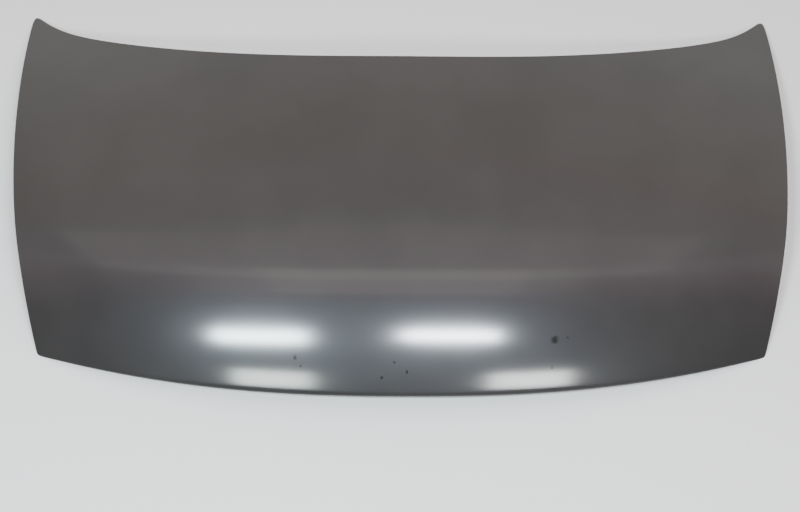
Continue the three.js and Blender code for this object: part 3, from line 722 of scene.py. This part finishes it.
# Flat plate with its edge turned up: the wall leans in by one thickness and a quadratic curve rounds the bend
def flangedPlate(corners, height, thickness, bores):
    places, outward = roundedLoop(corners, plateSheet["cornerRadius"], 8, 5)
    t = np.linspace(0, 1, 7)
    up, bend = plateSheet["flange"], plateSheet["bend"]
    wallIn, wallUp = thickness * (1 - bend / up), bend
    curve = (1 - t) ** 2 * wallIn + 2 * t * (1 - t) * thickness + t ** 2 * (thickness + bend)
    offset = np.concatenate([[0], curve])
    raised = np.concatenate([[up], (1 - t) ** 2 * wallUp])
    rings = np.stack([np.column_stack([places - outward * o, np.full(len(places), height + thickness + r)])
                      for o, r in zip(offset, raised)])
    number = np.arange(len(offset) * len(places)).reshape(len(offset), -1)
    points = [rings.reshape(-1, 3)]
    boreNumbers = []
    for loop in bores:
        boreNumbers.append(np.arange(len(loop[0])) + sum(len(p) for p in points))
        points.append(np.column_stack([loop[0], np.full(len(loop[0]), height + thickness)]))
    points = np.concatenate(points)
    faces = [gridFaces(number, closed=True), fillFaces(points, number[-1], boreNumbers, np.zeros(0, int))]
    return thicken(points, np.concatenate(faces), thickness)


seat = outerSkinSheet["seatGap"]
hingePlateZ = hingePadZ + seat
hingePlateSize = [side - 2 * plateSheet["margin"] for side in fr["hingePad"]]
latchPlateSize = [side - 2 * plateSheet["margin"] for side in fr["latchPad"]]
for sideName, x, bores in (("right", hingeX, boltLoops), ("left", -hingeX, leftBoltLoops)):
    corners = rectangle(x, hingeY, *hingePlateSize)
    plate = flangedPlate(corners, hingePlateZ, plateSheet["hingeThickness"], bores)
    makePiece(f"hinge_plate_{sideName}", *plate, innerCoatMaterial, "coat_inner",
              f"hinge_reinforcement_{sideName}", sharp=40)
corners = rectangle(0, latchY, *latchPlateSize)
plate = flangedPlate(corners, latchPadZ + seat, plateSheet["latchThickness"], [])
makePiece("latch_plate", *plate, innerCoatMaterial, "coat_inner", "latch_reinforcement", sharp=40)


# Weld nuts

weldNut = {
    "acrossFlats": 13, "height": 6.5, "boreRadius": 3.4, "threadPitch": 1.25, "threadDepth": 0.35,
    "chamfer": 0.5, "chamferSlope": 2, "chamferCut": 0.25, "leadIn": 0.8, "steps": 72, "boreSteps": 42,
}
nutSteel = {
    "colour": (0.30, 0.30, 0.29, 1), "stain": (0.16, 0.14, 0.12, 1), "roughness": 0.42, "metallic": 1.0,
}


# Steel with brownish stains, uneven roughness and a fine tooth
def steelMaterial(name, settings):
    material, shader, add, links = newMaterial(name)
    place = add("ShaderNodeTexCoord").outputs["Object"]
    stain = ramp(add, grain(add, place, 9, 4, 0.6), 0.42, 0.66, 0, 0.7)
    links.new(blendColours(add, settings["colour"], settings["stain"], stain), shader.inputs["Base Color"])
    rough = settings["roughness"]
    uneven = ramp(add, grain(add, place, 3, 3), 0.3, 0.7, rough - 0.08, rough + 0.12)
    links.new(uneven, shader.inputs["Roughness"])
    links.new(roughen(add, grain(add, place, 0.8), 0.00003), shader.inputs["Normal"])
    shader.inputs["Metallic"].default_value = settings["metallic"]
    return material


# Hexagon r = apothem / cos(angle from the flat's middle), cut by a cone at each end; the bore's radius
# follows a zigzag of height / pitch - turn, which makes the thread
def nutPoints(x, y, z):
    s = weldNut
    apothem = s["acrossFlats"] / 2
    angle = np.arange(s["steps"]) / s["steps"] * 2 * math.pi
    hexagon = apothem / np.cos(angle % (math.pi / 3) - math.pi / 6)
    top = s["height"]
    bore = np.linspace(top, 0, s["boreSteps"])
    c = s["chamfer"]
    outerHeights = np.array([0, c * 0.5, c, top / 2, top - c, top - c * 0.5, top])
    fromEnd = np.minimum(outerHeights, top - outerHeights)
    outer = np.minimum(hexagon, (apothem - s["chamferCut"] + s["chamferSlope"] * fromEnd)[:, None])
    zigzag = np.abs((bore[:, None] / s["threadPitch"] - angle / (2 * math.pi)) % 1 * 2 - 1)
    openEnd = np.clip(1 - np.minimum(bore, top - bore) / s["leadIn"], 0, 1)[:, None]
    inner = s["boreRadius"] + s["threadDepth"] * np.maximum(zigzag, openEnd)
    annulusTop = outer[-1] * 0.55 + inner[0] * 0.45  # a ring of points about midway across the end
    radius = np.concatenate([outer, annulusTop[None], inner])
    heights = np.concatenate([outerHeights, [top], bore])[:, None]
    grid = np.stack([x + radius * np.cos(angle), y + radius * np.sin(angle), z + heights + 0 * radius], -1)
    rows = np.arange(radius.size).reshape(radius.shape)
    return grid.reshape(-1, 3), gridFaces(np.concatenate([rows, rows[:1]]), closed=True)


nutMaterial = steelMaterial("bare_nut_steel", nutSteel)
nutZ = hingePlateZ + plateSheet["hingeThickness"] + seat
for sideName, sign in (("right", 1), ("left", -1)):
    for endName, (x, y) in zip(("front", "rear"), boltPlaces):
        makePiece(f"weld_nut_{sideName}_{endName}", *nutPoints(sign * x, y, nutZ), nutMaterial, "nut_steel",
                  f"hinge_nut_{sideName}_{endName}", sharp=28)


# Striker

striker = {
    "plate": (84, 44, 2.5), "plateRadius": 8, "edgeRadius": 0.7,
    "rodRadius": 4, "legSpacing": 30, "reach": 36, "bend": 10, "sides": 32,
    "legSteps": 30, "bendSteps": 15, "footSteps": 5,
    "weldFlare": 2.4, "weldHeight": 3.2, "weldRipple": 0.06, "weldRipples": 9,
}
strikerSteel = {
    "colour": (0.300, 0.295, 0.285, 1), "stain": (0.220, 0.210, 0.195, 1), "roughness": 0.36, "metallic": 0.9,
}
strikerMaterial = steelMaterial("drawn_striker_steel", strikerSteel)
strikerTop = latchPadZ - fr["thickness"] - seat


# Plate: the loop shrinks by r (1 - sin t) as the height turns through the rounded edge
def strikerPlatePoints():
    width, length, thick = striker["plate"]
    places, outward = roundedLoop(rectangle(0, latchY, width, length), striker["plateRadius"], 10, 4)
    r = striker["edgeRadius"]
    t = np.linspace(0, math.pi / 2, 6)
    offset = np.concatenate([-r * (1 - np.sin(t)), -r * (1 - np.sin(t[::-1]))])
    height = np.concatenate([-thick + r * (1 - np.cos(t)), -r + r * np.cos(t[::-1])])
    rings = [np.column_stack([places + outward * o, np.full(len(places), strikerTop + h)])
             for o, h in zip(offset, height)]
    return closedRings(np.stack(rings))


# Round rod along a U: straight legs, two quarter circles and a straight foot; the radius grows by
# flare * (1 - d / height)^2 into the weld at the plate
def strikerRodPoints():
    s = striker
    top = strikerTop - s["plate"][2]
    low = top - seat - s["reach"] + s["rodRadius"]
    legs = np.linspace(top, low + s["bend"], s["legSteps"])
    turn = np.linspace(0, math.pi / 2, s["bendSteps"] + 1)[1:]
    half = s["legSpacing"] / 2
    downY = np.concatenate([0 * legs - half, -half + s["bend"] * (1 - np.cos(turn))])
    downZ = np.concatenate([legs, low + s["bend"] * (1 - np.sin(turn))])
    heading = np.concatenate([0 * legs - math.pi / 2, turn - math.pi / 2])
    foot = np.linspace(-half + s["bend"], half - s["bend"], s["footSteps"] + 2)[1:-1]
    pathY = np.concatenate([downY, foot, -downY[::-1]])
    pathZ = np.concatenate([downZ, 0 * foot + low, downZ[::-1]])
    heading = np.concatenate([heading, 0 * foot, -heading[::-1]])
    inWeld = np.clip(1 - (top - pathZ) / s["weldHeight"], 0, 1)
    radius = s["rodRadius"] + s["weldFlare"] * inWeld ** 2
    angle = np.arange(s["sides"]) / s["sides"] * 2 * math.pi
    ripple = 1 + s["weldRipple"] * inWeld[:, None] * np.sin(s["weldRipples"] * angle)
    across = radius[:, None] * ripple * np.cos(angle)
    lift = radius[:, None] * ripple * np.sin(angle)
    y = latchY + pathY[:, None] - lift * np.sin(heading)[:, None]
    z = pathZ[:, None] + lift * np.cos(heading)[:, None]
    return closedRings(np.stack([across, y, z], -1)[::-1])


makePiece("striker_mount", *strikerPlatePoints(), innerCoatMaterial, "coat_inner", "striker_plate", sharp=50)
makePiece("striker_rod", *strikerRodPoints(), strikerMaterial, "striker_steel", "striker_loop", sharp=60)


# Mastic dabs between the rims and the skin

masticDab = {
    "radius": 4.5, "neck": 0.93, "bulge": 0.16, "wideWave": 0.05, "narrowWave": 0.035, "phaseStep": 1.7,
    "steps": 28, "rows": 9,
}
masticPaste = {"colour": (0.012, 0.0115, 0.011, 1), "light": (0.03, 0.029, 0.027, 1)}


# Dull lumpy paste, paler and rougher on its lumps
def masticMaterial():
    material, shader, add, links = newMaterial("mastic_paste")
    place = add("ShaderNodeTexCoord").outputs["Object"]
    lump = grain(add, place, 1.6, 4, 0.6)
    colour = blendColours(add, masticPaste["colour"], masticPaste["light"], ramp(add, lump, 0.4, 0.7, 0, 1))
    links.new(colour, shader.inputs["Base Color"])
    links.new(ramp(add, lump, 0.3, 0.7, 0.62, 0.9), shader.inputs["Roughness"])
    links.new(roughen(add, lump, 0.0003), shader.inputs["Normal"])
    return material


# One squeezed blob: radius * (neck + bulge sin(pi t)) * (1 + a threefold and a fivefold wave round it),
# with t from the rim to the skin
def dabPoints(x, y, phase):
    s = masticDab
    angle = np.arange(s["steps"]) / s["steps"] * 2 * math.pi
    t = np.linspace(0, 1, s["rows"])[:, None]
    wave = 1 + s["wideWave"] * np.sin(3 * angle + phase) + s["narrowWave"] * np.sin(5 * angle - 2 * phase)
    radius = s["radius"] * (s["neck"] + s["bulge"] * np.sin(math.pi * t)) * wave
    depth = (rimDepth * (1 - t) + outerSkinSheet["thickness"] * t) + 0 * radius
    return closedRings(underSkin(x + radius * np.cos(angle), y + radius * np.sin(angle), depth))


dabNodes = [name for side in ("right", "left") for name in sorted(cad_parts)
            if name.startswith(f"mastic_dab_{side}")]
dabs = []
for name in dabNodes:  # each stands in the middle of its node
    low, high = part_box(name)
    x, y = (low.x + high.x) * 500 - shift[0], (low.y + high.y) * 500 - shift[1]
    dabs.append(dabPoints(x, y, len(dabs) * masticDab["phaseStep"]))
makePiece("mastic_dabs", *join(dabs), masticMaterial(), "mastic", *sorted(dabNodes), sharp=60)


# Floor, camera and light

studio = {
    "floorColour": (0.86, 0.86, 0.86, 1), "floorHalf": 9.0,
    # The camera stands at a distance from its orbit's centre, by angles in degrees, and looks at the aim
    "orbitCentre": (0, 60, 70), "distance": 2600, "elevation": 57, "azimuth": -2.0557, "roll": 2.0032,
    "aim": (-3.803, -33.170, 0.0), "lens": 65.23, "sensor": 36,
}


# Square floor under the hem
def makeFloor():
    half = studio["floorHalf"]
    x, y = np.meshgrid(np.linspace(-half, half, 13), np.linspace(-half, half, 13))
    points = np.stack([x, y, 0 * x], -1).reshape(-1, 3)
    faces = gridFaces(np.arange(x.size).reshape(x.shape))
    mesh = bpy.data.meshes.new("studio_floor")
    mesh.from_pydata(points.tolist(), [], faces.tolist())
    material, shader, _, _ = newMaterial("pale_floor")
    shader.inputs["Base Color"].default_value = studio["floorColour"]
    shader.inputs["Roughness"].default_value = 0.9
    shader.inputs["Specular IOR Level"].default_value = 0.1
    mesh.materials.append(material)
    floor = bpy.data.objects.new("studio_floor", mesh)
    bpy.context.collection.objects.link(floor)


# Camera at centre + distance * (sin a cos e, -cos a cos e, sin e), rolled about its line of sight
def makeCamera():
    elevation, azimuth, roll = (math.radians(studio[k]) for k in ("elevation", "azimuth", "roll"))
    level = math.cos(elevation)
    back = Vector((math.sin(azimuth) * level, -math.cos(azimuth) * level, math.sin(elevation)))
    place = Vector(studio["orbitCentre"]) + back * studio["distance"]
    forward = (Vector(studio["aim"]) - place).normalized()
    right = forward.cross(Vector((0, 0, 1))).normalized()
    up = right.cross(forward)
    turnedRight = right * math.cos(roll) + up * math.sin(roll)
    turnedUp = up * math.cos(roll) - right * math.sin(roll)
    data = bpy.data.cameras.new("photo_camera")
    data.sensor_fit, data.sensor_width, data.lens = "HORIZONTAL", studio["sensor"], studio["lens"]
    data.clip_start, data.clip_end = 0.05, 60
    camera = bpy.data.objects.new("photo_camera", data)
    bpy.context.collection.objects.link(camera)
    turn = Matrix((turnedRight, turnedUp, -forward)).transposed().to_4x4()
    camera.matrix_world = Matrix.Translation((place + Vector(shift)) / 1000) @ turn
    bpy.context.scene.camera = camera
    return camera


# Soft surroundings: colour by the angle over the object, as a share of the half turn from the rear
# horizon through the zenith to the front horizon. They are dimmer far out on the left.
sky = {
    "steps": [
        (0.00, (0.52, 0.47, 0.44)), (0.14, (1.03, 1.02, 0.97)), (0.28, (0.89, 0.72, 0.63)),
        (0.36, (0.79, 0.69, 0.69)), (0.43, (0.83, 0.69, 0.68)), (0.49, (1.06, 0.90, 0.91)),
        (0.545, (0.66, 0.40, 0.43)), (0.60, (0.08, 0.04, 0.04)), (0.68, (0.0, 0.0, 0.0)),
        (0.90, (0.0, 0.0, 0.0)), (0.96, (0.28, 0.28, 0.28)), (1.00, (0.30, 0.30, 0.30)),
    ],
    "leftDim": 0.72, "leftStart": 0.35, "leftEnd": 0.70,
}


# World light: share = atan2(z, y) / pi picks the colour, and -x dims it
def makeSky():
    world = bpy.context.scene.world or bpy.data.worlds.new("studio")
    bpy.context.scene.world = world
    world.use_nodes = True
    nodes, links = world.node_tree.nodes, world.node_tree.links
    nodes.clear()

    def calculate(operation, first, second=0.0):
        made = nodes.new("ShaderNodeMath")
        made.operation = operation
        for socket, value in zip(made.inputs, (first, second)):
            if isinstance(value, bpy.types.NodeSocket):
                links.new(value, socket)
            else:
                socket.default_value = value
        return made.outputs[0]

    def fade(value, start, end, low, high):
        made = nodes.new("ShaderNodeMapRange")
        made.interpolation_type = "SMOOTHSTEP"
        for socket, number in zip(made.inputs[1:5], (start, end, low, high)):
            socket.default_value = number
        links.new(value, made.inputs[0])
        return made.outputs[0]

    split = nodes.new("ShaderNodeSeparateXYZ")
    links.new(nodes.new("ShaderNodeTexCoord").outputs["Generated"], split.inputs[0])
    share = calculate("DIVIDE", calculate("ARCTAN2", split.outputs["Z"], split.outputs["Y"]), math.pi)
    colours = nodes.new("ShaderNodeValToRGB")
    bands = colours.color_ramp
    bands.interpolation = "LINEAR"
    while len(bands.elements) > 1:
        bands.elements.remove(bands.elements[-1])
    peak = max(max(colour) for _, colour in sky["steps"])
    for k, (position, colour) in enumerate(sky["steps"]):
        element = bands.elements[0] if k == 0 else bands.elements.new(position)
        element.position = position
        element.color = (*[c / peak for c in colour], 1)
    links.new(share, colours.inputs["Fac"])
    background = nodes.new("ShaderNodeBackground")
    towardsLeft = calculate("MULTIPLY", split.outputs["X"], -1)
    dim = fade(towardsLeft, sky["leftStart"], sky["leftEnd"], peak, peak * sky["leftDim"])
    links.new(dim, background.inputs["Strength"])
    links.new(colours.outputs["Color"], background.inputs["Color"])
    output = nodes.new("ShaderNodeOutputWorld")
    links.new(background.outputs[0], output.inputs["Surface"])


# Soft boxes: each stands where its mirror image is seen at u, v of the panel. A size is in metres, and
# watts are for red, green and blue. The wide ones light the knee.
lamps = {
    "upper_left": {"u": -0.370, "v": 0.121, "size": (0.720, 0.165), "watts": (54.0, 62.5, 66.0)},
    "upper_right": {"u": 0.123, "v": 0.132, "size": (0.670, 0.110), "watts": (49.5, 53.5, 57.5)},
    "lower_left": {"u": -0.347, "v": 0.028, "size": (0.620, 0.420), "watts": (27.0, 29.8, 28.6)},
    "lower_right": {"u": 0.334, "v": 0.028, "size": (0.650, 0.415), "watts": (31.0, 31.8, 31.4)},
    "knee_wide": {"u": -0.08, "v": 0.31, "size": (4.8, 1.6), "watts": (10.8, 9.2, 9.0)},
    "knee_middle": {"u": -0.04, "v": 0.26, "size": (3.0, 1.1), "watts": (3.2, 3.2, 2.6)},
    "knee_narrow": {"u": -0.02, "v": 0.262, "size": (1.9, 1.1), "watts": (3.9, 3.5, 3.3)},
}
lampDistance = 3.0


# Each box stands along the view's mirror image, 2 (n . view) n - view, and faces the panel
def makeLamps(camera):
    for name, lamp in lamps.items():
        point = (skinPoint(lamp["u"], lamp["v"]) + shift) / 1000
        normal = skinNormal(lamp["u"], lamp["v"])
        view = np.array(camera.matrix_world.translation) - point
        view /= np.linalg.norm(view)
        away = Vector(2 * (normal @ view) * normal - view)
        data = bpy.data.lights.new(name, "AREA")
        data.shape, data.size, data.size_y = "RECTANGLE", *lamp["size"]
        data.energy = max(lamp["watts"])
        data.color = [w / data.energy for w in lamp["watts"]]
        light = bpy.data.objects.new(name, data)
        bpy.context.collection.objects.link(light)
        light.visible_camera = False
        up = away.cross(Vector((1, 0, 0))).normalized()
        turned = Matrix((up.cross(away), up, away)).transposed().to_4x4()
        light.matrix_world = Matrix.Translation(Vector(point) + away * lampDistance) @ turned


makeFloor()
photoCamera = makeCamera()
makeSky()
makeLamps(photoCamera)
print("floor, camera and light in place")
